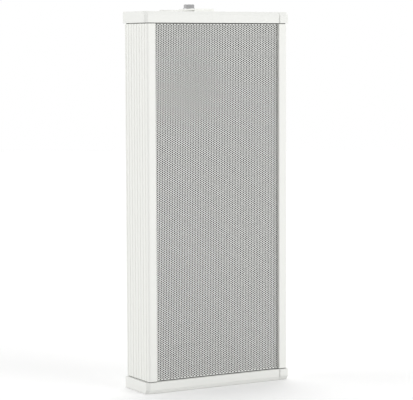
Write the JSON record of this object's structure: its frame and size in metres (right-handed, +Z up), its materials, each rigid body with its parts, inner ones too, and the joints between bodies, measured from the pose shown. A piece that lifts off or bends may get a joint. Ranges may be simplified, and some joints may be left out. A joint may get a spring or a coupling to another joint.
{
  "type": "column loudspeaker",
  "caption": "White fluted aluminium column loudspeaker with perforated grille, overhanging end caps, full-range drivers, a tweeter and swivel wall brackets.",
  "frame": {"origin": "centre of the bottom cap's underside", "axes": "+X to the right along the front, +Y from the front towards the wall, +Z up along the column"},
  "size_m": [0.232, 0.13, 0.5396],
  "materials": {
    "white_extrusion": "white powder coat, satin",
    "white_cap": "white moulded, satin",
    "white_steel": "white powder coat",
    "foam": "black closed-cell foam",
    "grille_paint": "white powder coat",
    "black_cloth": "black acoustic cloth",
    "zinc": "zinc plated",
    "board_wood": "fibre board",
    "steel_frame": "black pressed steel",
    "plain_steel": "zinc plated",
    "ferrite": "sintered ferrite",
    "copper_coil": "enamelled copper",
    "paper": "pressed paper",
    "surround_foam": "foam roll",
    "spider_cloth": "resin-stiffened cloth",
    "black_plastic": "moulded black",
    "silk": "coated silk",
    "laminations": "varnished laminated steel",
    "board_green": "glass-epoxy laminate",
    "grey_plastic": "moulded grey",
    "white_plastic": "moulded white",
    "nylon": "natural nylon",
    "lead_red": "insulated wire"
  },
  "bodies": {
    "cabinet": {"cabinet_extrusion": "white_extrusion", "top_cap": "white_cap", "bottom_cap": "white_cap", "top_gasket": "foam", "bottom_gasket": "foam", "cap_screws": "zinc", "grille": "grille_paint", "grille_cloth": "black_cloth", "baffle": "board_wood", "driver_screws": "zinc", "tweeter_faceplate": "black_plastic", "tweeter_magnet": "ferrite", "transformer_core": "laminations", "transformer_winding": "copper_coil", "transformer_clamp": "plain_steel", "crossover_board": "board_green", "board_standoffs": "white_plastic", "crossover_capacitor": "grey_plastic", "crossover_inductor": "copper_coil", "terminal_block": "white_plastic", "inner_screws": "zinc", "inner_leads": "lead_red", "cable_gland": "grey_plastic", "gland_cap": "grey_plastic", "gland_locknut": "grey_plastic", "top_arm": "white_steel", "bottom_arm": "white_steel", "arm_screws": "zinc", "nut_plates": "plain_steel", "pivot_bolts": "zinc", "pivot_washers": "zinc", "pivot_spacers": "nylon", "pivot_nuts": "zinc", "woofer_1_basket": "steel_frame", "woofer_1_top_plate": "plain_steel", "woofer_1_magnet": "ferrite", "woofer_1_yoke": "plain_steel", "woofer_1_surround": "surround_foam", "woofer_1_spider": "spider_cloth", "woofer_2_basket": "steel_frame", "woofer_2_top_plate": "plain_steel", "woofer_2_magnet": "ferrite", "woofer_2_yoke": "plain_steel", "woofer_2_surround": "surround_foam", "woofer_2_spider": "spider_cloth", "woofer_3_basket": "steel_frame", "woofer_3_top_plate": "plain_steel", "woofer_3_magnet": "ferrite", "woofer_3_yoke": "plain_steel", "woofer_3_surround": "surround_foam", "woofer_3_spider": "spider_cloth"},
    "tweeter_dome_body": {"tweeter_dome": "silk"},
    "top_bracket": {"top_wall_bracket": "white_steel"},
    "bottom_bracket": {"bottom_wall_bracket": "white_steel"},
    "woofer_1_moving": {"woofer_1_cone": "paper", "woofer_1_voice_coil": "copper_coil"},
    "woofer_2_moving": {"woofer_2_cone": "paper", "woofer_2_voice_coil": "copper_coil"},
    "woofer_3_moving": {"woofer_3_cone": "paper", "woofer_3_voice_coil": "copper_coil"}
  },
  "joints": [
    {"name": "top_swivel", "type": "hinge", "parent": "cabinet", "child": "top_bracket", "pos_m": [0, 0.052, 0.528], "axis": [0, 0, 1], "range_deg": [-30, 30]},
    {"name": "bottom_swivel", "type": "hinge", "parent": "cabinet", "child": "bottom_bracket", "pos_m": [0, 0.052, 0.02], "axis": [0, 0, 1], "range_deg": [-30, 30]},
    {"name": "woofer_1_travel", "type": "slide", "parent": "cabinet", "child": "woofer_1_moving", "axis": [0, -1, 0], "range_m": [-0.0025, 0.0025], "stiffness_N_per_m": 2000, "deforming": ["woofer_1_surround", "woofer_1_spider"]},
    {"name": "woofer_2_travel", "type": "slide", "parent": "cabinet", "child": "woofer_2_moving", "axis": [0, -1, 0], "range_m": [-0.0025, 0.0025], "stiffness_N_per_m": 2000, "deforming": ["woofer_2_surround", "woofer_2_spider"]},
    {"name": "woofer_3_travel", "type": "slide", "parent": "cabinet", "child": "woofer_3_moving", "axis": [0, -1, 0], "range_m": [-0.0025, 0.0025], "stiffness_N_per_m": 2000, "deforming": ["woofer_3_surround", "woofer_3_spider"]},
    {"name": "tweeter_travel", "type": "slide", "parent": "cabinet", "child": "tweeter_dome_body", "axis": [0, -1, 0], "range_m": [-0.0003, 0.0003], "stiffness_N_per_m": 3000}
  ],
  "couplings": [
    {"joint": "bottom_swivel", "follows": "top_swivel", "ratio": 1}
  ]
}
